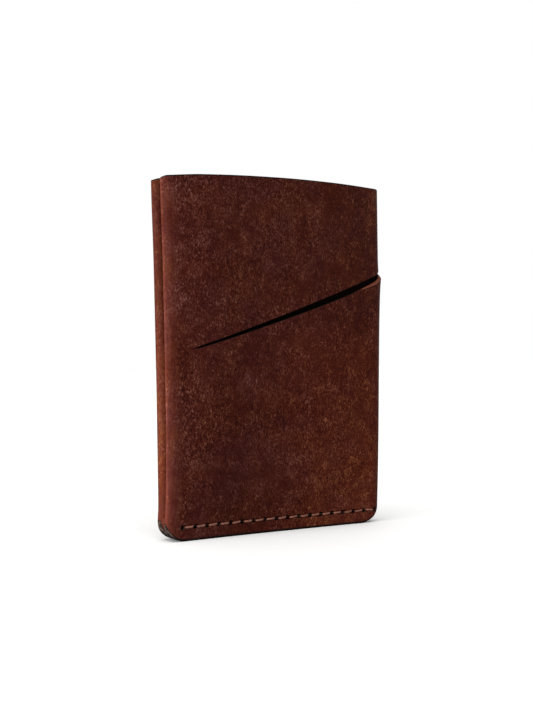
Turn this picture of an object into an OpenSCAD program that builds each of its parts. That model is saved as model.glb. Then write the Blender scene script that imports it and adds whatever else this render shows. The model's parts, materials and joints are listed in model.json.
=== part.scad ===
// Minimalist card wallet: one strip of leather folded into four layers,
// stitched once along the bottom, with a slanted slot cut across the front.
// Origin: middle of the bottom edge. +X to the spine, -Y to the front, +Z up.

/* [Wallet] */
// Width over the left folds and the right spine
wallet_w = 72.4; // [68:0.2:78]
// Height at the folds and the spine
wallet_h = 101; // [96:1:108]
// Extra height of the top edge in the middle
top_crown = 0.7; // [0:0.1:2]
// Radius of the two bottom corners
corner_r = 7; // [3:0.5:7.5]

/* [Leather] */
// Thickness of the leather
leather_t = 1.25; // [1:0.05:1.35]
// Clearance left between layers pressed together
layer_gap = 0.05; // [0.03:0.01:0.1]
// Outer radius of the two tight left folds
fold_r = 1.95; // [1.8:0.05:2.2]
// Outer radius of the spine at the bottom
spine_r_base = 3; // [2.9:0.1:4]
// Outer radius of the spine at the top
spine_r_top = 4.6; // [4.2:0.1:5]
// How far the spine is drawn in at the bottom
spine_tuck = 1.9; // [0.5:0.1:2.2]
// How far the left folds spread at the bottom, where they are pressed flat
fold_flare = 0.7; // [0:0.1:1]

/* [Pockets] */
// Gap between the two left folds at the top
fold_gap = 2; // [0.8:0.1:2.4]
// How far the outer panels bulge at the top
outer_bulge = 2.9; // [1.5:0.1:3.4]
// How far the inner panels bulge at the top
inner_bulge = 0.9; // [0.4:0.1:1]
// Where the inner panels end, measured from the middle
inner_end_x = 32.2; // [30:0.2:32.2]

/* [Slot] */
// Height of the slot's left tip
slot_tip_z = 53.4; // [48:0.2:56]
// Place of the slot's left tip across the front, as a share of its width
slot_tip_q = 0.09; // [0.06:0.01:0.15]
// Rise of the slot over the full width of the front
slot_rise = 21; // [18:0.2:24]
// How far the slot sags below a straight line in its middle
slot_sag = 0.4; // [0:0.1:0.8]
// Widest opening of the slot
slot_gap = 2; // [0.5:0.1:2.4]
// How far the lower lip stands out from the upper one
lip_proud = 0.9; // [0:0.1:1]

/* [Stitching] */
// Number of stitch holes
hole_count = 18; // [14:1:18]
// Distance between stitch holes
hole_pitch = 3.77; // [3:0.01:3.8]
// How far the row of stitches is off the middle, towards the spine
stitch_shift = 0.25; // [0:0.05:0.4]
// Height of the stitch line
stitch_z = 3.9; // [3.5:0.1:4.5]
// Diameter of the thread
thread_d = 0.6; // [0.4:0.05:0.65]

/* [Hidden] */

// Colours
leather_colour = "#5b2f25";
fold_colour = "#6e3b2e";
inner_colour = "#4a271f";
thread_colour = "#9a5b45";

// Heights that divide the strip
seam_h = 8;
pinch_h = 5;
bend_left_z = 55;
bend_right_drop = 0.8;
lip_bend_drop = 1;
lip_bend_right_z = 9.5;
body_gap = 0.12;
slot_clear = 0.3;
spine_seam_h = lip_bend_right_z - body_gap;

// How many steps each sheet has across and up
panel_steps = 12;
arc_steps = 8;
rise_steps = 6;
seam_steps = 4;

// Reach over which each shape opens above the pinched seam, and how softly that starts
fold_reach = 13;
flare_reach = 6.5;
bulge_reach = 22;
spine_reach = 34;
soft_start = 2.5;

layer_pitch = leather_t + layer_gap;
fold_rc = fold_r - leather_t / 2;

// 0 in the pinched seam, rising to 1 well above it
function opened(z, reach) =
    let (above = max(z - pinch_h, 0))
    1 - exp(-above * above / (above + soft_start) / reach);

// Middle of the front fold, seen from above
function fold_x(z) = -wallet_w / 2 + fold_r - fold_flare * exp(-pow(z / flare_reach, 2));
function fold_y(z) = fold_r + layer_gap / 2 + fold_gap / 2 * opened(z, fold_reach);

// Middle and centreline radius of the spine, seen from above
function spine_rc(z) =
    spine_r_base + (spine_r_top - spine_r_base) * opened(z, spine_reach) - leather_t / 2;
function spine_x(z) =
    wallet_w / 2 - spine_tuck * exp(-z / spine_reach) - spine_rc(z) - leather_t / 2;

// Distance of the outer layer's centreline from the middle plane, at share q of the width
function outer_bulge_at(z) =
    let (pinched = 1.5 * layer_pitch - (fold_y(0) + fold_rc + spine_rc(0)) / 2)
    pinched + (outer_bulge - pinched) * opened(z, bulge_reach);
function outer_slope(q, z) =
    (spine_rc(z) - fold_y(z) - fold_rc + 4 * outer_bulge_at(z) * (1 - 2 * q))
    / (spine_x(z) - fold_x(z));

// The same for the inner layer, which starts at the fold and ends free inside the spine
function inner_start(z) = fold_y(z) - fold_rc;
function inner_free(z) = layer_pitch / 2 + opened(z, bulge_reach) * 0.9;
function inner_bulge_at(z) = inner_bulge * opened(z, bulge_reach);
function inner_slope(q, z) =
    (inner_free(z) - inner_start(z) + 4 * inner_bulge_at(z) * (1 - 2 * q))
    / (inner_end_x - fold_x(z));

// A point of the outer layer, off millimetres outside its centreline
function outer_point(q, z, off) =
    let (
        start_a = atan(outer_slope(0, z)),
        end_a = -atan(outer_slope(1, z)),
        start_x = fold_x(z) - fold_rc * sin(start_a),
        end_x = spine_x(z) + spine_rc(z) * sin(end_a),
        start_y = fold_y(z) + fold_rc * cos(start_a),
        end_y = spine_rc(z) * cos(end_a),
        slope = outer_slope(q, z),
        n = sqrt(1 + slope * slope),
        y = start_y + (end_y - start_y) * q + 4 * outer_bulge_at(z) * q * (1 - q)
    )
    [start_x + (end_x - start_x) * q - off * slope / n, -y - off / n, z];

// A point of the inner layer
function inner_point(q, z, off) =
    let (
        start_a = atan(inner_slope(0, z)),
        start_x = fold_x(z) + fold_rc * sin(start_a),
        start_y = fold_y(z) - fold_rc * cos(start_a),
        slope = inner_slope(q, z),
        n = sqrt(1 + slope * slope),
        y = start_y + (inner_free(z) - start_y) * q + 4 * inner_bulge_at(z) * q * (1 - q)
    )
    [start_x + (inner_end_x - start_x) * q - off * slope / n, -y - off / n, z];

// A point of the front fold, from the inner layer at q = 0 to the outer layer at q = 1
function fold_point(q, z, off) =
    let (
        a = 90 - atan(inner_slope(0, z)),
        b = 270 - atan(outer_slope(0, z)),
        angle = a + (b - a) * q,
        r = fold_rc + off
    )
    [fold_x(z) + r * cos(angle), -fold_y(z) + r * sin(angle), z];

// A point of the spine, from the front layer at q = 0 to the back layer at q = 1
function spine_point(q, z, off) =
    let (
        a = -90 - atan(outer_slope(1, z)),
        angle = a - 2 * a * q,
        r = spine_rc(z) + off
    )
    [spine_x(z) + r * cos(angle), r * sin(angle), z];

// Top edge of the panels
function top_z(q) = wallet_h + top_crown * 4 * q * (1 - q);

// Line about which a top corner of the wallet bends, seen from the front
function corner_bend_z(q) = bend_left_z + (wallet_h - bend_right_drop - bend_left_z) * q;

// Upper edge of the slot across the front, and round the spine
function lip_share(q) = (q - slot_tip_q) / (1 - slot_tip_q);
function slot_z(q) =
    let (w = lip_share(q))
    slot_tip_z + slot_rise * w - slot_sag * 4 * w * (1 - w);
function slot_spine_z(q) = slot_z(1) + 0.36 * PI * spine_rc(slot_z(1)) * q;

// Lower edge of the slot, and how far it stands out
function slot_width(w) = slot_clear + slot_gap * w * (1.25 - 0.5 * pow(w, 4));
function lip_z(q) = slot_z(q) - slot_width(lip_share(q));
function lip_spine_z(q) =
    slot_spine_z(q) - slot_clear - (slot_width(1) - slot_clear) * (1 - q * q);
function lip_off(w, below) = lip_proud * w * exp(-below / 14);

// Line about which the slot's lower lip bends
function lip_bend_z(q) =
    slot_tip_z - lip_bend_drop
    + (lip_bend_right_z - slot_tip_z + lip_bend_drop) * lip_share(q);

// A closed sheet of leather. at(u, v, off) is a point, with u and v from 0 to 1.
module sheet(at, nu, nv) {
    row = nv + 1;
    side = (nu + 1) * row;
    points = [
        for (s = [0.5, -0.5])
            for (i = [0:nu])
                for (j = [0:nv])
                    at(i / nu, j / nv, s * leather_t)
    ];
    skin = [
        for (i = [0:nu - 1])
            for (j = [0:nv - 1])
                let (a = i * row + j, b = a + row)
                each [
                    [a, a + 1, b + 1], [a, b + 1, b],
                    [side + a, side + b + 1, side + a + 1], [side + a, side + b, side + b + 1]
                ]
    ];
    ends = [
        for (i = [0:nu - 1])
            let (a = i * row, b = a + row, c = a + nv, d = b + nv)
            each [
                [a, b, side + b], [a, side + b, side + a],
                [d, c, side + c], [d, side + c, side + d]
            ]
    ];
    edges = [
        for (j = [0:nv - 1])
            let (a = j, b = nu * row + j)
            each [
                [a + 1, a, side + a], [a + 1, side + a, side + a + 1],
                [b, b + 1, side + b + 1], [b, side + b + 1, side + b]
            ]
    ];
    polyhedron(points = points, faces = concat(skin, ends, edges));
}

// Everything outside the two rounded bottom corners
module corner_waste() {
    deep = 40;
    reach = wallet_w / 2 + 3;
    for (edge_x = [-wallet_w / 2 - fold_flare, wallet_w / 2 - spine_tuck])
        rotate([90, 0, 0])
            linear_extrude(height = deep, center = true)
                difference() {
                    centre_x = edge_x - sign(edge_x) * corner_r;
                    translate([edge_x < 0 ? -reach : centre_x, -1])
                        square([reach - abs(centre_x), corner_r + 1]);
                    translate([centre_x, corner_r])
                        circle(r = corner_r, $fn = 96);
                }
}

// Where the stitch holes are, from the left
function hole_x(i) = stitch_shift + (i - (hole_count - 1) / 2) * hole_pitch;

// The awl holes, slanted diamonds right through the stack
module awl_holes() {
    half_long = 0.82;
    half_short = 0.52;
    for (i = [0:hole_count - 1])
        translate([hole_x(i), 0, stitch_z])
            rotate([90, 35, 0])
                linear_extrude(height = 20, center = true)
                    polygon([[half_long, 0], [0, half_short], [-half_long, 0], [0, -half_short]]);
}

module at_back() {
    mirror([0, 1, 0])
        children();
}

// The stitched strip along the bottom of the outer layer
module outer_seam() {
    difference() {
        sheet(function(u, v, off) outer_point(u, v * seam_h, off), panel_steps * 2, seam_steps);
        corner_waste();
        awl_holes();
    }
}

module inner_seam() {
    difference() {
        sheet(function(u, v, off) inner_point(u, v * seam_h, off), panel_steps * 2, seam_steps);
        corner_waste();
        awl_holes();
    }
}

module fold_seam() {
    difference() {
        sheet(function(u, v, off) fold_point(u, v * seam_h, off), arc_steps, seam_steps);
        corner_waste();
    }
}

module front_seam() {
    color(leather_colour) outer_seam();
}

module front_inner_seam() {
    color(inner_colour) inner_seam();
}

module back_inner_seam() {
    color(inner_colour) at_back() inner_seam();
}

module back_seam() {
    color(leather_colour) at_back() outer_seam();
}

module front_fold_seam() {
    color(fold_colour) fold_seam();
}

module back_fold_seam() {
    color(fold_colour) at_back() fold_seam();
}

// The bottom of the spine, below the slot's lip
module spine_seam() {
    color(leather_colour)
        difference() {
            sheet(
                function(u, v, off) spine_point(u, v * spine_seam_h, off),
                arc_steps * 2, seam_steps
            );
            corner_waste();
            awl_holes();
        }
}

// Height v of the way up a band between two heights
function between(low, high, v) = low + (high - low) * v;

// The front panel left of the slot's tip
module front_panel_left() {
    color(leather_colour)
        sheet(
            function(u, v, off)
                let (q = u * slot_tip_q)
                outer_point(q, between(seam_h, corner_bend_z(q) - body_gap, v), off),
            2, rise_steps * 2
        );
}

// The front panel below the line about which the slot's lip bends
module front_panel_lower() {
    color(leather_colour)
        sheet(
            function(u, v, off)
                let (q = between(slot_tip_q, 1, u))
                outer_point(q, between(seam_h, lip_bend_z(q) - body_gap, v), off),
            panel_steps, rise_steps * 2
        );
}

// The front panel above the slot
module front_panel_upper() {
    color(leather_colour)
        sheet(
            function(u, v, off)
                let (q = between(slot_tip_q, 1, u))
                outer_point(q, between(slot_z(q), corner_bend_z(q) - body_gap, v), off),
            panel_steps, rise_steps
        );
}

// Everything of the outer layer below its bending corner, whole
module outer_panel() {
    sheet(
        function(u, v, off)
            outer_point(u, between(seam_h, corner_bend_z(u) - body_gap, v), off),
        panel_steps, rise_steps * 2
    );
}

module inner_panel() {
    sheet(
        function(u, v, off)
            inner_point(u, between(seam_h, corner_bend_z(u) - body_gap, v), off),
        panel_steps, rise_steps * 2
    );
}

module fold_lower() {
    sheet(
        function(u, v, off) fold_point(u, between(seam_h, bend_left_z - body_gap, v), off),
        arc_steps, rise_steps * 2
    );
}

module front_fold_lower() {
    color(fold_colour) fold_lower();
}

module front_inner_panel() {
    color(inner_colour) inner_panel();
}

module back_inner_panel() {
    color(inner_colour) at_back() inner_panel();
}

module back_fold_lower() {
    color(fold_colour) at_back() fold_lower();
}

module back_panel() {
    color(leather_colour) at_back() outer_panel();
}

// The back half of the spine below the slot
module spine_lower() {
    color(leather_colour)
        sheet(
            function(u, v, off)
                let (q = between(0.5, 1, u), top = lip_spine_z(q), z = between(spine_seam_h, top, v))
                spine_point(q, z, off + lip_off(2 - 2 * q, top - z)),
            arc_steps, rise_steps * 2
        );
}

// The whole spine above the slot
module spine_upper() {
    color(leather_colour)
        sheet(
            function(u, v, off) spine_point(u, between(slot_spine_z(u), wallet_h, v), off),
            arc_steps * 2, 4
        );
}

// The flap below the slot that bends outwards
module slot_lip_panel() {
    color(leather_colour)
        sheet(
            function(u, v, off)
                let (
                    q = between(slot_tip_q, 1, u),
                    top = lip_z(q),
                    z = between(lip_bend_z(q), top, v)
                )
                outer_point(q, z, off + lip_off(u, top - z)),
            panel_steps, rise_steps
        );
}

// The front half of the spine below the slot, which moves with the flap
module slot_lip_spine() {
    color(leather_colour)
        sheet(
            function(u, v, off)
                let (
                    q = u * (0.5 - 0.01),
                    top = lip_spine_z(q),
                    z = between(lip_bend_right_z, top, v)
                )
                spine_point(q, z, off + lip_off(1, top - z)),
            arc_steps, rise_steps * 2
        );
}

// The three pieces of a bending top corner
module corner_outer() {
    sheet(
        function(u, v, off) outer_point(u, between(corner_bend_z(u), top_z(u), v), off),
        panel_steps, rise_steps
    );
}

module corner_fold() {
    sheet(
        function(u, v, off) fold_point(u, between(bend_left_z, wallet_h, v), off),
        arc_steps, rise_steps
    );
}

module corner_inner() {
    sheet(
        function(u, v, off) inner_point(u, between(corner_bend_z(u), top_z(u), v), off),
        panel_steps, rise_steps
    );
}

module front_corner_outer() {
    color(leather_colour) corner_outer();
}

module front_corner_fold() {
    color(fold_colour) corner_fold();
}

module front_corner_inner() {
    color(inner_colour) corner_inner();
}

module back_corner_outer() {
    color(leather_colour) at_back() corner_outer();
}

module back_corner_fold() {
    color(fold_colour) at_back() corner_fold();
}

module back_corner_inner() {
    color(inner_colour) at_back() corner_inner();
}

// Outer surface of the seam in front of a stitch hole, as a distance from the middle plane
function seam_face(x) =
    let (
        first = outer_point(0, stitch_z, 0)[0],
        last = outer_point(1, stitch_z, 0)[0],
        q = (x - first) / (last - first)
    )
    -outer_point(q, stitch_z, leather_t / 2)[1];

// The straight stitches on one face, one bar from hole to hole
module stitch_bars() {
    stand_off = thread_d / 2 + 0.04;
    bar_inset = 0.2;
    for (i = [0:hole_count - 2]) {
        from = [hole_x(i), -seam_face(hole_x(i)) - stand_off];
        to = [hole_x(i + 1), -seam_face(hole_x(i + 1)) - stand_off];
        run = to - from;
        translate([from[0], from[1], stitch_z])
            rotate([0, 90, atan2(run[1], run[0])])
                translate([0, 0, bar_inset])
                    cylinder(d = thread_d, h = norm(run) - 2 * bar_inset, $fn = 24);
    }
}

module thread_front() {
    color(thread_colour) stitch_bars();
}

module thread_back() {
    color(thread_colour) at_back() stitch_bars();
}

// The thread inside each hole, from face to face
module thread_through() {
    color(thread_colour)
        for (i = [0:hole_count - 1]) {
            half = seam_face(hole_x(i)) + thread_d / 2;
            translate([hole_x(i), half, stitch_z])
                rotate([90, 0, 0])
                    cylinder(d = thread_d, h = 2 * half, $fn = 24);
        }
}

front_seam();
front_inner_seam();
back_inner_seam();
back_seam();
front_fold_seam();
back_fold_seam();
spine_seam();
front_panel_left();
front_panel_lower();
front_panel_upper();
front_fold_lower();
front_inner_panel();
back_inner_panel();
back_fold_lower();
back_panel();
spine_lower();
spine_upper();
slot_lip_panel();
slot_lip_spine();
front_corner_outer();
front_corner_fold();
front_corner_inner();
back_corner_outer();
back_corner_fold();
back_corner_inner();
thread_front();
thread_back();
thread_through();
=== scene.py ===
"""Looks of the folded leather card wallet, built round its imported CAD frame."""

import json
import math

import bmesh
import bpy
import numpy as np
from mathutils import Matrix, Vector
from mathutils.kdtree import KDTree


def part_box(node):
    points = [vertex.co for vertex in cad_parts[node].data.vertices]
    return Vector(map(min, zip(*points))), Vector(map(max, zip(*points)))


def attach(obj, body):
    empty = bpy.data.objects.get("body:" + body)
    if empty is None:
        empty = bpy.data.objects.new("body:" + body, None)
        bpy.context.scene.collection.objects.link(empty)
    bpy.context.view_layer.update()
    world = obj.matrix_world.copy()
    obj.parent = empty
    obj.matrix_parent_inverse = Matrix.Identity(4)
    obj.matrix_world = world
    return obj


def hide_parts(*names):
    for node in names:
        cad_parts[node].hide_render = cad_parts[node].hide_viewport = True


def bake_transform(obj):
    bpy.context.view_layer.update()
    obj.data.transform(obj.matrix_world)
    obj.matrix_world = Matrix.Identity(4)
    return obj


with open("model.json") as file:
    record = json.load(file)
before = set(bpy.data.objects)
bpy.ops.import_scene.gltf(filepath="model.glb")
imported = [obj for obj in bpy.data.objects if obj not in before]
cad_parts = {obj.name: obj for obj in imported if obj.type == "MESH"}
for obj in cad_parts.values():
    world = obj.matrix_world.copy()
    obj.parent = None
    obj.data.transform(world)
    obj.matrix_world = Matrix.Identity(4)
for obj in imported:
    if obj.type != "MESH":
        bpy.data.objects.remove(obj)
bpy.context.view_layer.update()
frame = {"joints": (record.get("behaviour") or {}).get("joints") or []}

MM = 0.001


def side_mm(node, end, axis):
    """One side of a CAD node's box, in millimetres."""
    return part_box(node)[end][axis] / MM


# ---------------------------------------------------------------- sizes, in millimetres
WALLET_W = 72.4
WALLET_H = side_mm("spine_upper", 1, 2)
TOP_CROWN = side_mm("back_corner_outer", 1, 2) - WALLET_H
INNER_END_X = side_mm("front_inner_panel", 1, 0)
STITCH_Z = (side_mm("thread_through", 0, 2) + side_mm("thread_through", 1, 2)) / 2
THREAD_D = side_mm("thread_through", 1, 2) - side_mm("thread_through", 0, 2)
STITCH_SHIFT = (side_mm("thread_through", 1, 0) + side_mm("thread_through", 0, 0)) / 2
HOLE_COUNT = 18
HOLE_RUN = side_mm("thread_through", 1, 0) - side_mm("thread_through", 0, 0) - THREAD_D
HOLE_PITCH = HOLE_RUN / (HOLE_COUNT - 1)

# The awl's slanted diamond: half its length, half its width and its lean
HOLE_LONG = 0.95
HOLE_SHORT = 0.64
HOLE_LEAN = math.radians(30)

# The bottom corners. A power below 2 makes a corner flatter than a circle.
CORNER_R_LEFT = 5.2
CORNER_POWER_LEFT = 1.75
CORNER_R_RIGHT = 7.0
CORNER_POWER_RIGHT = 2.0

LEATHER_T = 1.25
LAYER_PITCH = 1.30
FOLD_R = 1.95
FOLD_RC = FOLD_R - LEATHER_T / 2
SPINE_R_BASE = 3.0
SPINE_R_TOP = 4.6
SPINE_TUCK = 1.9
FOLD_FLARE = 0.7
FOLD_GAP = 2.0
OUTER_BULGE = 2.9
INNER_BULGE = 0.9
INNER_SPREAD = 0.9

# The slot. Q is a share of the width of the front, from the fold to the spine, or of the way
# round the spine. SLOT_CLIMB is how steeply the slot goes on round the spine.
SLOT_TIP_Z = 53.1
SLOT_TIP_Q = 0.08
SLOT_RISE = 21.3
SLOT_SAG = 0.4
SLOT_GAP = 2.0
SLOT_CLEAR = 0.3
SLOT_CLIMB = 0.36
SLOT_CLOSE_Q = 0.52
SPLIT_LEFT_Z = 51.9
LIP_PROUD = 1.15
LIP_REACH = 14.0
LIP_BEVEL = 0.72

# Where the slot turns the corner of the spine, its edges curl out and its upper edge is pared
CORNER_Q = 0.42
CORNER_REACH_Q = 0.26
CORNER_CURL = 0.24
CORNER_CURL_REACH = 2.3
UPPER_BEVEL = 0.66

# The pinched seam, and the reach over which each shape opens above it
PINCH_H = 5.0
FOLD_REACH = 13.0
FLARE_REACH = 6.5
BULGE_REACH = 22.0
SPINE_REACH = 34.0
SOFT_START = 2.5

# Rounding of the burnished cut edges, and how far their dark colour creeps onto the faces; at the foot
# the dark creep is also painted contact shadow from the floor
FOOT_R = 0.48
FOOT_DARK_AND_SHADOW = 0.75
TOP_R = 0.34
TOP_DARK = 0.36
SLOT_R = 0.15
SLOT_DARK = 0.10
EDGE_STEPS = 5

# How far the tops of the left folds lean out, and over what height
TOP_FLARE = 0.45
TOP_FLARE_REACH = 17.0
TOP_DIP = 0.35

# The folds draw in a little at half height
WAIST = 0.20
WAIST_Z = 40.0
WAIST_REACH = 24.0

# How much higher the top stands away from the left folds
TOP_LIFT = 0.3
TOP_LIFT_Q = 0.12

# How far the back fold reaches past the front one, and how much further at the foot
BACK_LEAN = 0.22
BACK_LEAN_FOOT = 0.16
BACK_LEAN_REACH = 14.0

# Height up to which the rounded bottom corners push the rows of a sheet up
CUT_REACH = 14.0

# Distances of the first rows of vertices from a cut edge
EDGE_ROWS = np.array([0.0, 0.12, 0.3, 0.55, 0.95])

# Sizes of the waves that keep the flat of a layer from being perfect
WAVE_LENGTHS = (26.0, 15.0, 8.5, 4.6)
WAVE_DEPTH = 0.08

# How the stitches press into the leather: a groove that fades past the last holes, and a
# dimple at each hole
GROOVE_REACH = 0.62
GROOVE_END = 0.7
GROOVE_DEPTH = 0.10
DIMPLE_REACH = 0.75
DIMPLE_DEPTH = 0.20

# Numbers of columns and rows in the sheets
PANEL_COLUMNS = 110
FOLD_COLUMNS = 20
SPINE_COLUMNS = 26
LOWER_ROWS = 56
UPPER_ROWS = 56

# The marks that each vertex carries for the materials
LABELS = ("edge", "flesh", "along", "up")

# The sides of the thread, its winding in radians per millimetre and the steps of one bar
THREAD_SIDES = 18
THREAD_TWIST = 2.6
BAR_STEPS = 26


# ---------------------------------------------------------------- the folded strip
def opened(z, reach):
    """0 in the pinched seam, rising to 1 well above it."""
    above = np.maximum(z - PINCH_H, 0)
    return 1 - np.exp(-above * above / (above + SOFT_START) / reach)


def fold_x(z):
    """Middle of the left fold, seen from above."""
    foot = FOLD_FLARE * np.exp(-((z / FLARE_REACH) ** 2))
    top = TOP_FLARE * np.exp(-(((WALLET_H - z) / TOP_FLARE_REACH) ** 2))
    waist = WAIST * np.exp(-(((z - WAIST_Z) / WAIST_REACH) ** 2))
    return -WALLET_W / 2 + FOLD_R - foot - top + waist


def fold_y(z):
    return FOLD_R + (LAYER_PITCH - LEATHER_T) / 2 + FOLD_GAP / 2 * opened(z, FOLD_REACH)


def spine_rc(z):
    """Radius of the middle of the spine's leather."""
    return SPINE_R_BASE + (SPINE_R_TOP - SPINE_R_BASE) * opened(z, SPINE_REACH) - LEATHER_T / 2


def spine_x(z):
    return WALLET_W / 2 - SPINE_TUCK * np.exp(-z / SPINE_REACH) - spine_rc(z) - LEATHER_T / 2


def outer_bulge(z):
    """How far the outer layer stands out from a straight line, from the pinched seam up."""
    pinched = 1.5 * LAYER_PITCH - (fold_y(0.0) + FOLD_RC + spine_rc(0.0)) / 2
    return pinched + (OUTER_BULGE - pinched) * opened(z, BULGE_REACH)


def outer_slope(q, z):
    run = spine_x(z) - fold_x(z)
    return (spine_rc(z) - fold_y(z) - FOLD_RC + 4 * outer_bulge(z) * (1 - 2 * q)) / run


def inner_free(z):
    return LAYER_PITCH / 2 + INNER_SPREAD * opened(z, BULGE_REACH)


def inner_bulge(z):
    return INNER_BULGE * opened(z, BULGE_REACH)


def inner_slope(q, z):
    start = fold_y(z) - FOLD_RC
    return (inner_free(z) - start + 4 * inner_bulge(z) * (1 - 2 * q)) / (INNER_END_X - fold_x(z))


def outer_point(q, z, off):
    """The outer layer at share q of its width, off millimetres outside its middle."""
    first = np.arctan(outer_slope(0, z))
    last = -np.arctan(outer_slope(1, z))
    x0 = fold_x(z) - FOLD_RC * np.sin(first)
    x1 = spine_x(z) + spine_rc(z) * np.sin(last)
    y0 = fold_y(z) + FOLD_RC * np.cos(first)
    y1 = spine_rc(z) * np.cos(last)
    slope = outer_slope(q, z)
    n = np.sqrt(1 + slope * slope)
    y = y0 + (y1 - y0) * q + 4 * outer_bulge(z) * q * (1 - q)
    return np.stack([x0 + (x1 - x0) * q - off * slope / n, -y - off / n, z + 0 * y], -1)


def inner_point(q, z, off):
    """The inner layer. off is positive towards the middle plane, like the fold's outside."""
    first = np.arctan(inner_slope(0, z))
    x0 = fold_x(z) + FOLD_RC * np.sin(first)
    y0 = fold_y(z) - FOLD_RC * np.cos(first)
    slope = inner_slope(q, z)
    n = np.sqrt(1 + slope * slope)
    y = y0 + (inner_free(z) - y0) * q + 4 * inner_bulge(z) * q * (1 - q)
    return np.stack([x0 + (INNER_END_X - x0) * q + off * slope / n, -y + off / n, z + 0 * y], -1)


def fold_point(q, z, off):
    """The left fold, from the inner layer at q = 0 to the outer layer at q = 1."""
    a = math.pi / 2 - np.arctan(inner_slope(0, z))
    b = 1.5 * math.pi - np.arctan(outer_slope(0, z))
    angle = a + (b - a) * q
    r = FOLD_RC + off
    x = fold_x(z) + r * np.cos(angle)
    y = -fold_y(z) + r * np.sin(angle)
    return np.stack([x, y, z + 0 * y], -1)


def spine_point(q, z, off):
    """The spine, from the front layer at q = 0 to the back layer at q = 1."""
    a = -math.pi / 2 - np.arctan(outer_slope(1, z))
    angle = a - 2 * a * q
    r = spine_rc(z) + off
    y = r * np.sin(angle)
    return np.stack([spine_x(z) + r * np.cos(angle), y, z + 0 * y], -1)


# Lengths along the strip, used to place the grain
PANEL_RUN = spine_x(50.0) - fold_x(50.0)
FOLD_RUN = math.pi * FOLD_RC
SPINE_RUN = math.pi * float(spine_rc(75.0))


def top_z(q):
    """The crowned top edge of a panel."""
    return WALLET_H + TOP_CROWN * 4 * q * (1 - q) + TOP_LIFT * min(1, q / TOP_LIFT_Q)


def fold_top_z(q):
    """The fold's top dips where it turns, at q = 0.5."""
    return WALLET_H - TOP_DIP * math.sin(math.pi * q) ** 2


def lip_share(q):
    """How far q is along the slot, from 0 at its tip to 1 at the spine."""
    return (q - SLOT_TIP_Q) / (1 - SLOT_TIP_Q)


def slot_z(q):
    """Upper edge of the slot across the front; left of its tip, the line that carries it on."""
    if q < SLOT_TIP_Q:
        return SPLIT_LEFT_Z + (SLOT_TIP_Z - SPLIT_LEFT_Z) * q / SLOT_TIP_Q
    w = lip_share(q)
    return SLOT_TIP_Z + SLOT_RISE * w - SLOT_SAG * 4 * w * (1 - w)


def slot_spine_z(q):
    """Upper edge of the slot round the spine."""
    return slot_z(1) + SLOT_CLIMB * SPINE_RUN * q


def slot_width(w):
    """How wide the slot stands open at share w of its length across the front."""
    if w <= 0:
        return 0.0
    opening = w * (1.15 - 0.12 * math.sin(math.pi * w) - 0.5 * w**5)
    return SLOT_CLEAR * min(1, w / 0.04) + SLOT_GAP * opening


def lip_z(q):
    return slot_z(q) - slot_width(lip_share(q))


def lip_spine_z(q):
    """The slot closes towards the middle of the spine."""
    return slot_spine_z(q) - slot_width(1) * max(0, 1 - q / SLOT_CLOSE_Q) ** 1.1 - 0.02


def hole_x(i):
    """Where stitch hole i is, from the left."""
    return STITCH_SHIFT + (i - (HOLE_COUNT - 1) / 2) * HOLE_PITCH


# ---------------------------------------------------------------- hand-made unevenness
def waves(p, seed):
    """A smooth, repeatable unevenness between about -1 and 1, at points in millimetres."""
    rng = np.random.default_rng(seed)
    total = np.zeros(len(p))
    longest = WAVE_LENGTHS[0]
    for length in WAVE_LENGTHS:
        direction = rng.normal(size=3)
        direction /= np.linalg.norm(direction)
        phase = rng.uniform(0, 2 * math.pi)
        total += math.sqrt(length / longest) * np.sin(p @ direction * 2 * math.pi / length + phase)
    return total / 2


def stitch_groove(p):
    """How far the tight thread draws the leather in at a point of an outer face."""
    across = np.exp(-(((p[:, 2] - STITCH_Z) / GROOVE_REACH) ** 2))
    step = (p[:, 0] - STITCH_SHIFT) / HOLE_PITCH + (HOLE_COUNT - 1) / 2
    beyond = np.maximum(np.maximum(-step, step - (HOLE_COUNT - 1)), 0) * HOLE_PITCH
    near = np.exp(-(((step - np.round(step)) * HOLE_PITCH / DIMPLE_REACH) ** 2))
    ended = np.exp(-((beyond / GROOVE_END) ** 2))
    return across * ended * (GROOVE_DEPTH + DIMPLE_DEPTH * near)


def corner_floor(x):
    """Height of the rounded bottom corners at x."""
    floor = np.zeros_like(x)
    corners = (
        (-1, WALLET_W / 2 + FOLD_FLARE, CORNER_R_LEFT, CORNER_POWER_LEFT),
        (1, WALLET_W / 2 - SPINE_TUCK, CORNER_R_RIGHT, CORNER_POWER_RIGHT),
    )
    for side, edge, r, power in corners:
        into = np.clip((side * x - edge + r) / r, 0, 1)
        floor = np.maximum(floor, r - r * (1 - into**power) ** (1 / power))
    return floor


# ---------------------------------------------------------------- meshes from columns
def near_edges(low, high, count):
    """Row heights from low to high, close together near both cut edges."""
    close = EDGE_ROWS * min(1, (high - low) / 6)
    middle = np.linspace(low + close[-1], high - close[-1], count)
    return np.concatenate([low + close[:-1], middle, (high - close[:-1])[::-1]])


def seam_rows(high, count):
    """Row heights for a layer that runs down through the stitched seam."""
    return np.concatenate([
        EDGE_ROWS[:-1],
        np.linspace(EDGE_ROWS[-1], STITCH_Z - 1.3, 4),
        np.linspace(STITCH_Z - 1.1, STITCH_Z + 1.1, 12),
        np.linspace(PINCH_H + 0.3, CUT_REACH, 14),
        near_edges(CUT_REACH, high, count)[4:],
    ])


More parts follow.
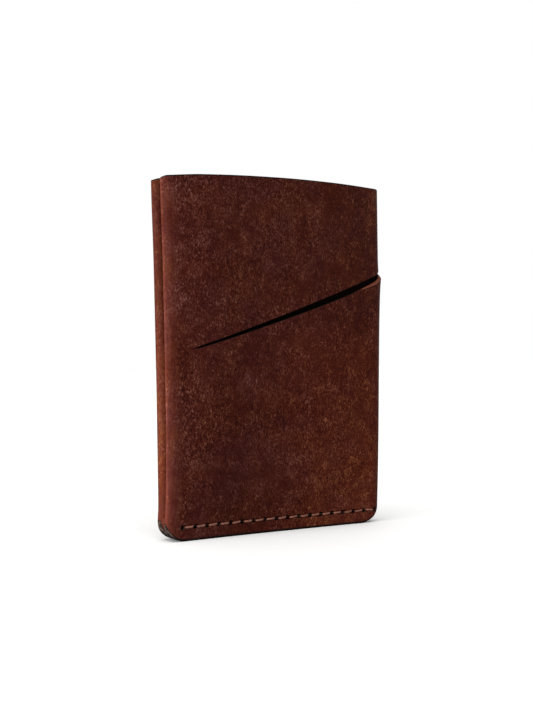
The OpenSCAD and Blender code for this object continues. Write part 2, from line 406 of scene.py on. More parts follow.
def strictly_rising(rows, foot_r, top_r):
    """The same rows, squeezed clear of the rounding at both ends."""
    low, high = rows[0] + foot_r, rows[-1] - top_r
    near_foot = rows[0] + foot_r * np.exp(-(rows - rows[0]) / (2.5 * max(foot_r, 0.01)))
    lifted = np.maximum(rows, near_foot + (rows - rows[0]) * 0.98)
    near_top = rows[-1] - top_r * np.exp(-(rows[-1] - rows) / (2.5 * max(top_r, 0.01)))
    lifted = np.minimum(lifted, near_top - (rows[-1] - rows) * 0.98)
    lifted = np.maximum.accumulate(lifted)
    return low + (lifted - lifted[0]) * (high - low) / (lifted[-1] - lifted[0])


def uneven(p, off):
    """Moves the flat of a layer in and out a little, and draws its outer face in along the stitches."""
    x, z = p[:, 0], p[:, 2]
    from_left = np.clip((x + 33) / 8, 0, 1)
    from_right = np.clip((31 - x) / 8, 0, 1)
    from_foot = np.clip((z - 7) / 12, 0, 1)
    flat = from_left * from_right * from_foot
    push = WAVE_DEPTH * waves(p * np.array([1, 0, 1]), 5) * flat
    outer_face = (np.abs(p[:, 1]) > LAYER_PITCH + 0.3) & (off > 0)
    push = push - stitch_groove(p) * outer_face
    moved = p.copy()
    moved[:, 1] += np.sign(p[:, 1]) * push
    return moved


def linked(name, data):
    """A new object in the scene."""
    made = bpy.data.objects.new(name, data)
    bpy.context.scene.collection.objects.link(made)
    return made


def made_mesh(name, bm):
    """A mesh from bm, with its faces turned outwards."""
    bmesh.ops.recalc_face_normals(bm, faces=bm.faces)
    data = bpy.data.meshes.new(name)
    bm.to_mesh(data)
    bm.free()
    return data


class Strip:
    """Collects columns of a sheet of leather and joins them into one closed mesh."""

    def __init__(self):
        self.points, self.index, self.faces, self.data = [], {}, [], []
        self.last = None

    def vertex(self, p, edge, flesh, along):
        """The number of the vertex at p, which is made if it isn't there yet."""
        key = tuple(np.round(p, 5))
        if key not in self.index:
            self.index[key] = len(self.points)
            self.points.append(p)
            self.data.append((edge, flesh, along, p[2]))
        return self.index[key]

    def column(
        self, at, q, rows, along, low=(FOOT_R, FOOT_DARK_AND_SHADOW), high=(TOP_R, TOP_DARK),
        cut=False, bevel=0.0, undercut=0.0,
    ):
        """Vertex numbers of one column: up the outside, over the top, down the inside, under the foot.

        low and high are the rounding of the cut edges and how far their dark colour creeps.
        bevel and undercut pare the outside of the upper and the lower edge.
        """
        half = LEATHER_T / 2
        low_r, low_dark = low
        high_r, high_dark = high

        def place(z, off):
            z, off = np.broadcast_arrays(np.asarray(z, float), np.asarray(off, float))
            if cut:
                floor = corner_floor(at(q, np.maximum(z, 1.0), off)[:, 0])
                z = z + floor * np.clip(1 - z / CUT_REACH, 0, 1)
            return uneven(at(q, z, off), off)

        turn = np.linspace(0, math.pi / 2, EDGE_STEPS + 1)

        def rounding(edge_z, outer, inner, sign):
            """Heights and offsets round a cut edge, from the outside to the inside.

            An outer radius that is larger than the inner one makes a nearly flat bevel.
            """
            flat = 0.8 * min(1, (outer - inner) / 0.3)
            along_edge = turn / turn[-1]
            outer_off = half - outer * ((1 - flat) * (1 - np.cos(turn)) + flat * along_edge)
            outer_back = outer * ((1 - flat) * (1 - np.sin(turn)) + flat * (1 - along_edge))
            off = np.concatenate([outer_off, -half + inner - inner * np.sin(turn)])
            back = np.concatenate([outer_back, inner - inner * np.cos(turn)])
            return edge_z + sign * back, off

        outer_rise = strictly_rising(rows, low_r + undercut, high_r + bevel)
        inner_rise = strictly_rising(rows, low_r, high_r)
        head_z, top_off = rounding(rows[-1], high_r + bevel, high_r, -1)
        foot_z, foot_off = rounding(rows[0], low_r + undercut, low_r, 1)
        mid = slice(1, len(top_off) - 1)
        pared = min(1, bevel / 0.3)
        # a pared bevel lets the dark colour reach further down below it: a painted shade line in the
        # crease under the bevel
        high_dark += 0.25 * pared
        top_edge = np.where(np.arange(len(top_off)) <= EDGE_STEPS, 1 - 2 * pared, 1.0) * (high_r > 0)

        def dark(heights, base, summit):
            foot = np.exp(-(((heights - base) / low_dark) ** 2)) * (low_r > 0)
            head = np.exp(-(((summit - heights) / high_dark) ** 2)) * (high_r > 0)
            return np.maximum(foot, head)

        parts = (
            (outer_rise, half, dark(outer_rise, rows[0] + undercut, rows[-1] - bevel), 0.0),
            (head_z[mid], top_off[mid], top_edge[mid], 0.5),
            (inner_rise[::-1], -half, dark(inner_rise, rows[0], rows[-1])[::-1], 1.0),
            (foot_z[mid][::-1], foot_off[mid][::-1], 1.0 * (low_r > 0), 0.5),
        )
        loop = []
        for heights, off, edge, flesh in parts:
            points = place(heights, off)
            edge = np.broadcast_to(edge, len(points))
            loop.append([self.vertex(p, float(e), flesh, along) for p, e in zip(points, edge)])
        return loop

    def join(self, a, b):
        """Faces between two columns of the same length."""
        a, b = sum(a, []), sum(b, [])
        for i in range(len(a)):
            j = (i + 1) % len(a)
            self.face([a[i], b[i], b[j], a[j]])

    def add(self, column):
        """Joins a column to the last one, or closes the sheet's first end with it."""
        if self.last is None:
            self.cap(column, first=True)
        else:
            self.join(self.last, column)
        self.last = column

    def cap(self, loop, first, rows=None, low=True):
        """Closes the end of a sheet across its thickness, over all its rows or a stretch of them."""
        outer, top, inner, foot = loop
        inner = inner[::-1]
        rows = rows or (0, len(outer) - 1)
        for i in range(*rows):
            quad = [outer[i], outer[i + 1], inner[i + 1], inner[i]]
            self.face(quad if first else quad[::-1])
        if rows[1] == len(outer) - 1:
            lid = [outer[-1], *top, inner[-1]]
            self.face(lid if first else lid[::-1])
        if rows[0] == 0 and low:
            sole = [inner[0], *foot, outer[0]]
            self.face(sole if first else sole[::-1])

    def face(self, numbers):
        """Adds a face, without the corners that two columns share."""
        clean = [n for i, n in enumerate(numbers) if n != numbers[i - 1]]
        if len(set(clean)) > 2:
            self.faces.append(clean)

    def mesh(self, name):
        data = bpy.data.meshes.new(name)
        data.from_pydata([tuple(p * MM) for p in self.points], [], self.faces)
        data.validate()
        values = np.array(self.data, np.float32)
        for i, label in enumerate(LABELS):
            layer = data.attributes.new(label, "FLOAT", "POINT")
            layer.data.foreach_set("value", values[:, i] * (MM if i > 1 else 1))
        return linked(name, data)


def back_mirror(at):
    """The same layer on the back of the wallet, where the fold reaches a little further left."""
    def mirrored(q, z, off):
        p = at(q, z, off) * np.array([1, -1, 1])
        lean = BACK_LEAN + BACK_LEAN_FOOT * np.exp(-((p[:, 2] / BACK_LEAN_REACH) ** 2))
        p[:, 0] -= lean * np.clip((20 - p[:, 0]) / 50, 0, 1)
        return p
    return mirrored


panel_q = np.unique(np.concatenate([np.linspace(0, 1, PANEL_COLUMNS + 1), [SLOT_TIP_Q]]))
fold_q = np.linspace(0, 1, FOLD_COLUMNS + 1)
spine_q = np.linspace(0, 1, SPINE_COLUMNS + 1)


def slot_edge_r(q):
    """The cut edge's rounding starts at the slot's tip."""
    return SLOT_R * float(np.clip((q - SLOT_TIP_Q) / 0.03, 0, 1))


def slot_end_r(q):
    """The slot's edges lose their rounding where the spine meets the back."""
    return SLOT_R * float(np.clip((1 - q) / 0.15, 0, 1))


def lip_bevel(share):
    """The lower lip is pared to a bevel towards the spine."""
    return LIP_BEVEL * float(np.clip((share - 0.8) / 0.2, 0, 1)) ** 2


def corner(q):
    """1 where the slot turns the corner of the spine, falling to 0 on both sides."""
    return math.exp(-(((q - CORNER_Q) / CORNER_REACH_Q) ** 2))


def lip_offset(at, share, top, curl=0.0):
    """The lower lip stands out from the upper one, less and less with depth."""
    def standing(q, z, off):
        proud = LIP_PROUD * share * np.exp(-(top - z) / LIP_REACH)
        return at(q, z, off + proud + CORNER_CURL * curl * np.exp(-(top - z) / CORNER_CURL_REACH))
    return standing


def curled(at, curl, low):
    """The upper edge of the slot curls out by the same amount."""
    def standing(q, z, off):
        return at(q, z, off + CORNER_CURL * curl * np.exp(-(z - low) / CORNER_CURL_REACH))
    return standing


def build_front_lower():
    """The outer layer below the slot, with the lower part of the spine."""
    strip = Strip()
    for q in panel_q:
        top = lip_z(q)
        share = max(lip_share(q), 0)
        strip.add(strip.column(
            lip_offset(outer_point, share, top), q, seam_rows(top, LOWER_ROWS), q * PANEL_RUN,
            high=(slot_edge_r(q), SLOT_DARK), cut=True, bevel=lip_bevel(share),
        ))
    for q in spine_q[1:]:
        top = lip_spine_z(q)
        rows = seam_rows(top, LOWER_ROWS)
        strip.add(strip.column(
            lip_offset(spine_point, 1 - q, top, corner(q)), q, rows, PANEL_RUN + q * SPINE_RUN,
            high=(slot_end_r(q), SLOT_DARK), cut=True, bevel=lip_bevel(1) * min(1, (1 - q) / 0.4),
        ))
    strip.cap(strip.last, first=False)
    return strip.mesh("front_lower_leather")


def full_rows(high):
    """Rows of a layer that runs from the seam to the top, and the number of the row at the split."""
    below = seam_rows(SPLIT_LEFT_Z, LOWER_ROWS)
    above = near_edges(SPLIT_LEFT_Z, high, UPPER_ROWS)
    return np.concatenate([below, above[1:]]), len(below) - 1


def build_front_upper():
    """The front inner layer, its fold, the outer layer above the slot and the upper spine."""
    strip = Strip()
    for q in panel_q[::-1]:
        rows, _ = full_rows(top_z(q))
        strip.add(strip.column(inner_point, q, rows, -FOLD_RUN - q * PANEL_RUN, cut=True))
    for q in fold_q[1:]:
        rows, split = full_rows(fold_top_z(q))
        strip.add(strip.column(fold_point, q, rows, (q - 1) * FOLD_RUN, cut=True))
    strip.cap(strip.last, first=False, rows=(0, split))
    rows = near_edges(slot_z(0), WALLET_H, UPPER_ROWS)
    strip.last = strip.column(outer_point, 0.0, rows, 0.0, low=(0.0, SLOT_DARK))
    for q in panel_q[1:]:
        rows = near_edges(slot_z(q), top_z(q), UPPER_ROWS)
        low = (slot_edge_r(q), SLOT_DARK)
        strip.add(strip.column(outer_point, q, rows, q * PANEL_RUN, low=low))
    for q in spine_q[1:]:
        rows = near_edges(slot_spine_z(q), WALLET_H + TOP_LIFT, UPPER_ROWS)
        strip.add(strip.column(
            curled(spine_point, corner(q), rows[0]), q, rows, PANEL_RUN + q * SPINE_RUN,
            low=(slot_end_r(q), SLOT_DARK), undercut=UPPER_BEVEL * corner(q),
        ))
    strip.cap(strip.last, first=False)
    return strip.mesh("front_upper_leather")


def build_back():
    """The back panel, its fold and the back inner layer."""
    strip = Strip()
    run = PANEL_RUN + SPINE_RUN
    for q in panel_q[::-1]:
        rows, _ = full_rows(top_z(q))
        strip.add(strip.column(back_mirror(outer_point), q, rows, run + (1 - q) * PANEL_RUN, cut=True))
    run += PANEL_RUN
    for q in fold_q[::-1][1:]:
        rows, _ = full_rows(fold_top_z(q))
        strip.add(strip.column(back_mirror(fold_point), q, rows, run + (1 - q) * FOLD_RUN, cut=True))
    run += FOLD_RUN
    for q in panel_q[1:]:
        rows, _ = full_rows(top_z(q))
        strip.add(strip.column(back_mirror(inner_point), q, rows, run + q * PANEL_RUN, cut=True))
    strip.cap(strip.last, first=False)
    return strip.mesh("back_leather")


# ---------------------------------------------------------------- awl holes and thread
def seam_face(x):
    """Distance of the outer face from the middle plane at a stitch hole."""
    first = outer_point(0.0, np.array([STITCH_Z]), 0.0)[0, 0]
    last = outer_point(1.0, np.array([STITCH_Z]), 0.0)[0, 0]
    q = (x - first) / (last - first)
    if q > 1:
        r = float(spine_rc(STITCH_Z)) + LEATHER_T / 2
        return math.sqrt(r * r - (x - float(spine_x(STITCH_Z))) ** 2)
    return -outer_point(q, np.array([STITCH_Z]), LEATHER_T / 2)[0, 1]


def along_hole(i, along, across=0.0):
    """A place in the front view, from the middle of a hole along and across its lean."""
    x = hole_x(i) + along * math.cos(HOLE_LEAN) - across * math.sin(HOLE_LEAN)
    z = STITCH_Z + along * math.sin(HOLE_LEAN) + across * math.cos(HOLE_LEAN)
    return x, z


def hole_cutter():
    """Slanted diamond prisms through the whole stack, one at each stitch hole."""
    deep = 9.0
    bm = bmesh.new()
    for i in range(HOLE_COUNT):
        diamond = ((HOLE_LONG, 0), (0, HOLE_SHORT), (-HOLE_LONG, 0), (0, -HOLE_SHORT))
        ring = [along_hole(i, along, across) for along, across in diamond]
        near = [bm.verts.new((x * MM, -deep * MM, z * MM)) for x, z in ring]
        far = [bm.verts.new((x * MM, deep * MM, z * MM)) for x, z in ring]
        bm.faces.new(near)
        bm.faces.new(far[::-1])
        for k in range(4):
            bm.faces.new([near[k], far[k], far[(k + 1) % 4], near[(k + 1) % 4]])
    return linked("hole_cutter", made_mesh("hole_cutter", bm))


def punch(piece, cutter):
    """Cuts the awl holes, then gives every new vertex the marks of its nearest old one.

    Returns which vertices are on a cut edge or on the wall of a hole.
    """
    old = piece.data
    count = len(old.vertices)
    tree = KDTree(count)
    for i, v in enumerate(old.vertices):
        tree.insert(v.co, i)
    tree.balance()
    marks = {}
    for label in LABELS:
        marks[label] = np.zeros(count, np.float32)
        old.attributes[label].data.foreach_get("value", marks[label])
    cut = piece.modifiers.new("holes", "BOOLEAN")
    cut.operation, cut.solver, cut.object = "DIFFERENCE", "MANIFOLD", cutter
    graph = bpy.context.evaluated_depsgraph_get()
    fresh = bpy.data.meshes.new_from_object(piece.evaluated_get(graph))
    piece.modifiers.clear()
    piece.data = fresh
    nearest = [tree.find(v.co) for v in fresh.vertices]
    for label in LABELS:
        layer = fresh.attributes.get(label) or fresh.attributes.new(label, "FLOAT", "POINT")
        values = np.array([marks[label][n[1]] for n in nearest], np.float32)
        if label == "edge":
            new_wall = np.array([n[2] for n in nearest]) > 0.02 * MM
            values[new_wall] = 1.0
            burnt = values > 0.97
        layer.data.foreach_set("value", values)
    bpy.data.meshes.remove(old)
    return burnt


def plied(bm, path, radius):
    """A thread along path, with three lobes that wind round it."""
    sides = THREAD_SIDES
    rings = []
    reach = 0.0
    for i, p in enumerate(path):
        before, after = path[max(i - 1, 0)], path[min(i + 1, len(path) - 1)]
        reach += (p - before).length if i else 0.0
        along = (after - before).normalized()
        side = along.cross(Vector((0, 0, 1)))
        side = side.normalized() if side.length > 0.05 else Vector((1, 0, 0))
        up = side.cross(along).normalized()
        ring = []
        for k in range(sides):
            angle = 2 * math.pi * k / sides
            r = radius * (0.90 + 0.13 * abs(math.cos(1.5 * (angle - reach * THREAD_TWIST))))
            ring.append(bm.verts.new((p + side * math.cos(angle) * r + up * math.sin(angle) * r) * MM))
        rings.append(ring)
    for a, b in zip(rings, rings[1:]):
        for k in range(sides):
            bm.faces.new([a[k], a[(k + 1) % sides], b[(k + 1) % sides], b[k]])
    bm.faces.new(rings[0][::-1])
    bm.faces.new(rings[-1])


def bar_path(i, face, tilt, sag):
    """The line of the bar from hole i to the next one, on the front (-1) or the back (1)."""
    a, b = hole_x(i), hole_x(i + 1)
    path = []
    for k in range(BAR_STEPS + 1):
        s = k / BAR_STEPS
        x = a + 0.65 + (b - a - 1.28) * s
        dive = 2.2 * (abs(2 * s - 1)) ** 14
        proud = 0.10 - 0.22 * (abs(2 * s - 1)) ** 4
        y = seam_face(x) + proud - dive
        z = STITCH_Z - face * tilt * (2 * s - 1) + sag * math.sin(math.pi * s)
        path.append(Vector((x, face * y, z)))
    return path


def build_thread():
    """Saddle stitching: a bar from each hole to the next on both faces, diving into the holes."""
    bm = bmesh.new()
    rng = np.random.default_rng(11)
    for face in (-1, 1):
        for i in range(HOLE_COUNT - 1):
            tilt = 0.10 + 0.04 * rng.uniform(-1, 1) - 0.2 * (i == HOLE_COUNT - 2)
            sag = 0.04 * rng.uniform(-1, 1)
            thick = 0.5 * THREAD_D * (1 - 0.2 * i / HOLE_COUNT)
            plied(bm, bar_path(i, face, tilt, sag), thick)
    # the strands that fill the first and the last hole, where only one bar dives in
    for i in (0, HOLE_COUNT - 1):
        for along, thick in ((-0.48, 0.30), (0.0, 0.52), (0.48, 0.30)):
            x, z = along_hole(i, along)
            plied(bm, [Vector((x, 1.5 * (k / 3 - 1), z)) for k in range(7)], thick)
    return linked("saddle_stitching", made_mesh("saddle_stitching", bm))


# ---------------------------------------------------------------- materials
class Nodes:
    """Short forms for the shader nodes used here. Values may be numbers, colours or sockets."""

    def __init__(self, name):
        self.material = bpy.data.materials.new(name)
        self.material.use_nodes = True
        self.tree = self.material.node_tree
        self.tree.nodes.clear()
        self.out = self.tree.nodes.new("ShaderNodeOutputMaterial")
        self.shader = self.tree.nodes.new("ShaderNodeBsdfPrincipled")
        self.tree.links.new(self.shader.outputs[0], self.out.inputs[0])

    def new(self, kind, **settings):
        node = self.tree.nodes.new("ShaderNode" + kind)
        for key, value in settings.items():
            setattr(node, key, value)
        return node

    def feed(self, socket, value):
        if isinstance(value, bpy.types.NodeSocket):
            self.tree.links.new(value, socket)
        else:
            socket.default_value = value

    def math(self, operation, *values, clamp=False):
        node = self.new("Math", operation=operation, use_clamp=clamp)
        for socket, value in zip(node.inputs, values):
            self.feed(socket, value)
        return node.outputs[0]

    def mix(self, share, a, b, blend="MIX"):
        node = self.new("Mix", data_type="RGBA", blend_type=blend)
        self.feed(node.inputs["Factor"], share)
        self.feed(node.inputs[6], a)
        self.feed(node.inputs[7], b)
        return node.outputs[2]

    def smooth(self, value, low, high, to_low=0.0, to_high=1.0):
        node = self.new("MapRange", interpolation_type="SMOOTHSTEP")
        for socket, setting in zip(node.inputs, (value, low, high, to_low, to_high)):
            self.feed(socket, setting)
        return node.outputs[0]

    def noise(self, where, scale, detail=3.0, rough=0.55, distort=0.0):
        node = self.new("TexNoise")
        self.feed(node.inputs["Vector"], where)
        node.inputs["Scale"].default_value = scale
        node.inputs["Detail"].default_value = detail
        node.inputs["Roughness"].default_value = rough
        node.inputs["Distortion"].default_value = distort
        return node.outputs[0]

    def ramp(self, value, stops):
        node = self.new("ValToRGB")
        self.feed(node.inputs[0], value)
        bar = node.color_ramp.elements
        while len(bar) < len(stops):
            bar.new(0.5)
        for element, (at, shade) in zip(bar, stops):
            element.position = at
            element.color = shade
        return node.outputs[0]

    def times(self, shade, share, factor):
        """The colour shade, multiplied by factor where share is 1."""
        return self.mix(share, shade, self.mix(1.0, shade, factor, "MULTIPLY"))

    def bumpy(self, height, strength, distance):
        bump = self.new("Bump")
        bump.inputs["Strength"].default_value = strength
        bump.inputs["Distance"].default_value = distance
        self.feed(bump.inputs["Height"], height)
        self.feed(self.shader.inputs["Normal"], bump.outputs[0])

    def attribute(self, name):
        return self.new("Attribute", attribute_name=name).outputs["Fac"]

    def stretched(self, where, scale, shift=(0, 0, 0), turn=(0, 0, 0)):
        node = self.new("Mapping")
        self.feed(node.inputs["Vector"], where)
        node.inputs["Scale"].default_value = scale
        node.inputs["Location"].default_value = shift
        node.inputs["Rotation"].default_value = turn
        return node.outputs[0]

    def fibres(self, where, scale, width, distort):
        """Thin curly lines, where a distorted noise crosses its middle value."""
        level = self.noise(where, scale, 1.0, 0.5, distort)
        off_middle = self.math("ABSOLUTE", self.math("SUBTRACT", level, 0.5))
        return self.smooth(off_middle, 0.0, width, 1.0, 0.0)


def colour(r, g, b):
    return (r, g, b, 1.0)


def ridge_lines():
    """Where along the strip the two left folds turn, in metres."""
    return -FOLD_RUN / 2 * MM, (2 * PANEL_RUN + SPINE_RUN + FOLD_RUN / 2) * MM


def strip_place(n):
    """Coordinates that run along the strip, through it and up it."""
    join = n.new("CombineXYZ")
    n.feed(join.inputs[0], n.attribute("along"))
    n.feed(join.inputs[1], n.math("MULTIPLY", n.attribute("flesh"), 0.004))
    n.feed(join.inputs[2], n.attribute("up"))
    return join.outputs[0]


def leather_material():
    n = Nodes("brushed_brown_leather")
    where = strip_place(n)
    along = n.attribute("along")
    up = n.attribute("up")
    flesh = n.smooth(n.attribute("flesh"), 0.4, 0.9)
    edge = n.attribute("edge")

    # the grain, from broad clouds down to short nap, and the thin curly fibres over it
    broad = n.noise(where, 30.0, 3.0, 0.55, 0.6)
    patch = n.noise(n.stretched(where, (1.0, 1.0, 0.7)), 190.0, 3.0, 0.6, 0.8)
    grain = n.noise(n.stretched(where, (1.35, 1.0, 0.72)), 2100.0, 1.0, 0.5, 0.8)
    nap = n.noise(n.stretched(where, (1.0, 1.0, 0.52), (0.2, 0, 0.7)), 1250.0, 2.0, 0.6, 1.2)
    tilted = n.stretched(where, (1.0, 1.0, 0.70), (0.9, 0, 0.5), (0, 0.4, 0))
    curls = n.fibres(tilted, 420.0, 0.034, 2.4)
    tilted = n.stretched(where, (1.0, 1.0, 0.48), (0.3, 0, 1.5), (0, -0.5, 0))
    curls = n.math("MAXIMUM", curls, n.fibres(tilted, 260.0, 0.020, 2.6))
    curls = n.math("MULTIPLY", curls, n.smooth(n.noise(where, 260.0, 3.0, 0.6), 0.42, 0.58))

    # masks: on and beside the left folds, the front fold's ridge, the right and two low places
    ridges = [n.math("ABSOLUTE", n.math("SUBTRACT", along, at)) for at in ridge_lines()]
    ridge = n.math("MINIMUM", *ridges)
    fold = n.smooth(ridge, 0.0018, 0.0050, 1.0, 0.0)
    beside = n.smooth(ridge, 0.0040, 0.0200, 1.0, 0.0)
    turn = n.smooth(ridges[0], 0.0002, 0.0009, 1.0, 0.0)
    right = n.smooth(along, 0.030, 0.062)
    low_left = n.math("MULTIPLY", n.smooth(along, 0.022, 0.040, 1.0, 0.0),
                      n.smooth(up, 0.012, 0.034, 1.0, 0.0))
    low_right_painted_light = n.math("MULTIPLY", n.smooth(along, 0.018, 0.045),
                       n.smooth(up, 0.048, 0.074, 1.0, 0.0))

    # how strong the grain is: calm in patches and at the lower left, and worn away on the folds
    calm = n.smooth(n.noise(where, 85.0, 2.0, 0.5, 0.4), 0.40, 0.60, 0.62, 1.08)
    calm = n.math("MULTIPLY", calm, n.math("MULTIPLY_ADD", low_left, -0.20, 1.0))
    strength = n.math("MULTIPLY_ADD", beside, 0.40, n.math("MULTIPLY_ADD", fold, -0.95, 1.10))
    strength = n.math("MULTIPLY", strength, calm)
    curls = n.math("MULTIPLY", curls, n.math("MULTIPLY_ADD", fold, -0.85, 1.0))

    fine = n.math("MULTIPLY", n.math("SUBTRACT", grain, 0.5), 1.15)
    fine = n.math("MULTIPLY_ADD", n.math("SUBTRACT", nap, 0.5), 0.80, fine)
    level = n.math("MULTIPLY_ADD", fine, strength, 0.485)
    level = n.math("MULTIPLY_ADD", n.math("SUBTRACT", patch, 0.5), 0.50, level)
    level = n.math("MULTIPLY_ADD", n.math("SUBTRACT", broad, 0.5), 0.40, level)
    level = n.math("MULTIPLY_ADD", curls, 0.38, level, clamp=True)
    base = n.ramp(level, (
        (0.05, colour(0.0080, 0.0008, 0.0004)),
        (0.30, colour(0.0170, 0.0016, 0.0008)),
        (0.52, colour(0.0275, 0.0042, 0.0021)),
        (0.75, colour(0.0480, 0.0122, 0.0070)),
        (1.00, colour(0.0850, 0.0315, 0.0200)),
    ))
    cloud = n.smooth(n.noise(where, 75.0, 3.0, 0.6, 0.5), 0.38, 0.64)
    tint = n.mix(cloud, colour(0.98, 0.98, 1.22), colour(1.04, 1.01, 0.84))
    base = n.mix(1.0, base, tint, "MULTIPLY")

    # the folds are painted lighter and paler in streaks along them, partly rubbed wear and partly
    # painted sheen, and the right is a little warmer
    streaks = n.noise(n.stretched(where, (1500.0, 1.0, 60.0)), 1.0, 3.0, 0.6, 0.3)
    worn_and_sheen = n.mix(n.smooth(streaks, 0.38, 0.64), colour(1.48, 1.95, 2.25), colour(1.78, 2.50, 2.50))
    base = n.times(base, fold, worn_and_sheen)
    # painted highlight: a pale line along the front fold's ridge
    base = n.times(base, turn, colour(1.80, 1.85, 1.85))
    base = n.times(base, right, colour(1.0, 0.92, 0.72))
    # painted light: beside the left folds the leather is painted lighter, as if the key light fell more
    # strongly there
    base = n.times(base, n.math("MULTIPLY", beside, 0.5), colour(1.45, 1.55, 1.65))
    # painted light: the lower right of the front is painted lighter, as a fill light would leave it
    base = n.times(base, low_right_painted_light, colour(1.38, 1.38, 1.25))

    # the flesh side, painted near-black as painted shade for the insides of the pockets, the dark cut
    # edges, which at the foot are also painted contact shadow, and, where edge is below 0, the pale
    # pared bevels
    flesh_side_and_shade = n.mix(n.smooth(nap, 0.35, 0.7), colour(0.0040, 0.0015, 0.0010),
                       colour(0.0100, 0.0035, 0.0024))
    base = n.mix(flesh, base, flesh_side_and_shade)
    base = n.mix(n.smooth(edge, 0.15, 0.75), base, colour(0.0030, 0.0016, 0.0012))
    base = n.mix(n.smooth(edge, -0.1, -0.7), base, colour(0.085, 0.024, 0.014))
    n.feed(n.shader.inputs["Base Color"], base)

    rough = n.math("MULTIPLY_ADD", nap, 0.25, 0.50)
    rough = n.math("MULTIPLY_ADD", flesh, 0.15, rough, clamp=True)
    n.feed(n.shader.inputs["Roughness"], rough)
    n.shader.inputs["Specular IOR Level"].default_value = 0.035

    height = n.math("MULTIPLY_ADD", grain, 0.5, n.math("MULTIPLY", nap, 0.5))
    height = n.math("MULTIPLY_ADD", curls, 0.3, height)
    height = n.math("MULTIPLY_ADD", n.math("MULTIPLY", nap, flesh), 0.6, height)
    n.bumpy(height, 0.5, 0.00010)
    return n.material


def edge_material():
    """Cut edges burnished to a dark, dull skin with the marks of the sanding in it; low on the corners
    they are painted lighter as a painted sheen, and at the foot they stay near-black, partly painted
    contact shadow.
    """
    n = Nodes("burnished_edge")
    where = n.new("TexCoord").outputs["Object"]
    marks = n.noise(n.stretched(where, (2600.0, 500.0, 900.0), (0, 0, 0), (0, 0.6, 0)), 1.0, 3.0, 0.6)
    soil = n.noise(where, 160.0, 2.0, 0.5)
    height = n.new("SeparateXYZ")
    n.feed(height.inputs[0], where)
    # painted contact shadow keeps the edge near-black at the foot; the band above it, low on the
    # corners, is painted lighter as a painted sheen
    above_foot = n.smooth(height.outputs[2], 0.0006, 0.0026)
    corner_sheen = n.math("MULTIPLY", above_foot, n.smooth(height.outputs[2], 0.0080, 0.0120, 1.0, 0.0))
    sanded_and_sheen = n.mix(n.smooth(marks, 0.42, 0.62), colour(0.0120, 0.0070, 0.0055),
                   colour(0.0800, 0.0500, 0.0400))
    sanded_and_sheen = n.mix(n.smooth(soil, 0.50, 0.70, 0.0, 0.6), sanded_and_sheen, colour(0.0080, 0.0040, 0.0030))
    base = n.mix(corner_sheen, colour(0.0025, 0.0013, 0.0010), sanded_and_sheen)
    n.feed(n.shader.inputs["Base Color"], base)
    n.feed(n.shader.inputs["Roughness"], n.math("MULTIPLY_ADD", marks, 0.3, 0.45))
    n.shader.inputs["Specular IOR Level"].default_value = 0.03
    n.bumpy(marks, 0.5, 0.00006)
    return n.material


def thread_material():
    n = Nodes("waxed_tan_thread")
    where = n.new("TexCoord").outputs["Object"]
    fuzz = n.noise(n.stretched(where, (1400.0, 5200.0, 5200.0)), 1.0, 3.0, 0.6)
    soil = n.noise(where, 420.0, 2.0, 0.5)
    base = n.mix(n.smooth(fuzz, 0.35, 0.7), colour(0.075, 0.023, 0.012), colour(0.195, 0.066, 0.037))
    base = n.mix(n.math("MULTIPLY", n.smooth(soil, 0.45, 0.7), 0.5), base, colour(0.045, 0.013, 0.007))
    n.feed(n.shader.inputs["Base Color"], base)
    n.feed(n.shader.inputs["Roughness"], n.math("ADD", 0.45, n.math("MULTIPLY", fuzz, 0.2)))
    n.shader.inputs["Specular IOR Level"].default_value = 0.4
    n.bumpy(fuzz, 0.4, 0.00005)
    return n.material


# ---------------------------------------------------------------- pieces
leather = leather_material()
burnished = edge_material()
front_lower = build_front_lower()
front_upper = build_front_upper()
back = build_back()
cutter = hole_cutter()
for piece in (front_lower, front_upper, back):
    bm = bmesh.new()
    bm.from_mesh(piece.data)
    bmesh.ops.recalc_face_normals(bm, faces=bm.faces)
    bm.to_mesh(piece.data)
    bm.free()
    burnt = punch(piece, cutter)
    piece.data.materials.clear()
    piece.data.materials.append(leather)
    piece.data.materials.append(burnished)
    for face in piece.data.polygons:
        face.material_index = int(burnt[list(face.vertices)].all())
    piece.data.shade_smooth()
    piece.data.set_sharp_from_angle(angle=math.radians(40))
bpy.data.objects.remove(cutter)

thread = build_thread()
thread.data.materials.append(thread_material())
thread.data.shade_smooth()
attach(thread, "wallet")
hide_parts("thread_front", "thread_back", "thread_through")


def joint_line(name):
    """A joint's axis as a point and a direction, in metres."""
    joint = next(j for j in frame["joints"] if j["name"] == name)
    return Vector(joint["pos_m"]), Vector(joint["axis"]).normalized()


# Each top corner: its joint's line is read, the way from it towards the top of the fold is worked out,
# and the CAD parts that the leather replaces are hidden
for piece, body, joint, nodes in (
    (front_upper, "front_corner", "front_corner_flex",
     ("front_inner_seam", "front_fold_seam", "front_fold_lower", "front_inner_panel",
      "front_panel_upper", "spine_upper", "front_corner_outer", "front_corner_fold",
      "front_corner_inner")),
    (back, "back_corner", "back_corner_flex",
     ("back_seam", "back_inner_seam", "back_fold_seam", "back_fold_lower", "back_inner_panel",
      "back_panel", "back_corner_outer", "back_corner_fold", "back_corner_inner")),
):
    start, axis = joint_line(joint)
    away = Vector((fold_x(WALLET_H) * MM, start.y, WALLET_H * MM)) - start
    away -= axis * away.dot(axis)
    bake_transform(piece)
    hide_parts(*nodes)

# The lip's joint line is read, and the CAD parts that the lower leather replaces are hidden
start, axis = joint_line("slot_lip_flex")
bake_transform(front_lower)
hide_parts("front_seam", "spine_seam", "front_panel_left", "front_panel_lower",
            "spine_lower", "slot_lip_panel", "slot_lip_spine")


# ---------------------------------------------------------------- floor, light and camera
FLOOR_REACH = 6.0

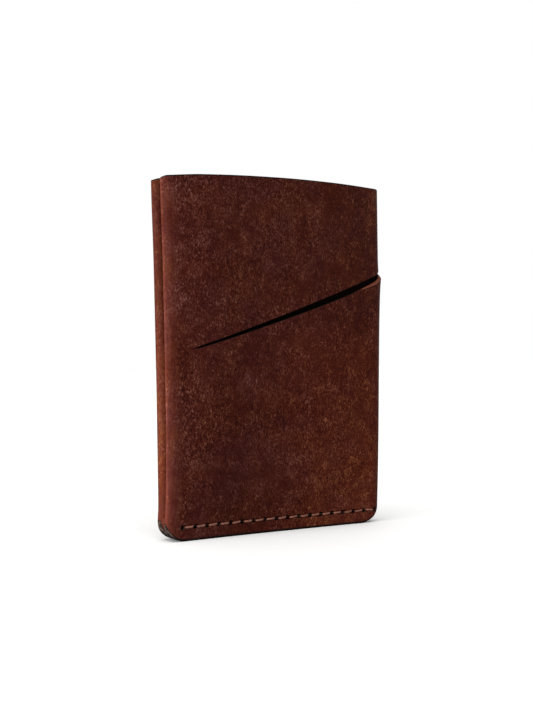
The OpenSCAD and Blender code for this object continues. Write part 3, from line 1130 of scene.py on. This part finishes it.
# The camera: its place in metres, its lens in millimetres on a 36 mm sensor and its angles in degrees
CAMERA_PLACE = (-0.15941, -0.28637, 0.04979)
CAMERA_SENSOR = 36.0
CAMERA_LENS = 56.7038
CAMERA_YAW = 28.68
CAMERA_PITCH = -0.228
CAMERA_ROLL = -0.931


def build_floor():
    data = bpy.data.meshes.new("floor")
    sides = ((-1, -1), (1, -1), (1, 1), (-1, 1))
    data.from_pydata([(x * FLOOR_REACH, y * FLOOR_REACH, 0) for x, y in sides], [], [(0, 1, 2, 3)])
    floor = linked("floor", data)
    n = Nodes("white_floor")
    n.shader.inputs["Base Color"].default_value = colour(0.63, 0.63, 0.625)
    n.shader.inputs["Roughness"].default_value = 0.7
    n.shader.inputs["Specular IOR Level"].default_value = 0.1
    data.materials.append(n.material)


def sun(name, towards, strength, spread):
    """A soft light without a place, so that it falls the same on the whole floor."""
    data = bpy.data.lights.new(name, "SUN")
    data.energy, data.angle = strength, math.radians(spread)
    lamp = linked(name, data)
    lamp.rotation_euler = Vector(towards).to_track_quat("-Z", "Y").to_euler()


def build_light():
    world = bpy.data.worlds.new("studio")
    bpy.context.scene.world = world
    world.use_nodes = True
    sky = world.node_tree.nodes["Background"]
    sky.inputs[0].default_value = colour(1, 1, 1)
    sky.inputs[1].default_value = 1.0
    sun("key", (1.0, 0.06, -0.08), 6.5, 35)
    sun("top", (0.42, 0.42, -1.0), 2.3, 60)


def build_camera():
    """A camera a little left of the front, at about half the wallet's height."""
    data = bpy.data.cameras.new("camera")
    data.sensor_width = CAMERA_SENSOR
    data.lens = CAMERA_LENS
    data.clip_start = 0.01
    yaw, pitch, roll = (math.radians(a) for a in (CAMERA_YAW, CAMERA_PITCH, CAMERA_ROLL))
    ahead = Vector((math.sin(yaw) * math.cos(pitch), math.cos(yaw) * math.cos(pitch), -math.sin(pitch)))
    level = Vector((math.cos(yaw), -math.sin(yaw), 0))
    above = level.cross(ahead)
    right = math.cos(roll) * level + math.sin(roll) * above
    up = -math.sin(roll) * level + math.cos(roll) * above
    turned = Matrix((right, up, -ahead)).transposed().to_4x4()
    camera = linked("camera", data)
    camera.matrix_world = Matrix.Translation(CAMERA_PLACE) @ turned
    bpy.context.scene.camera = camera


build_floor()
build_light()
build_camera()
bpy.context.scene.view_settings.view_transform = "Standard"
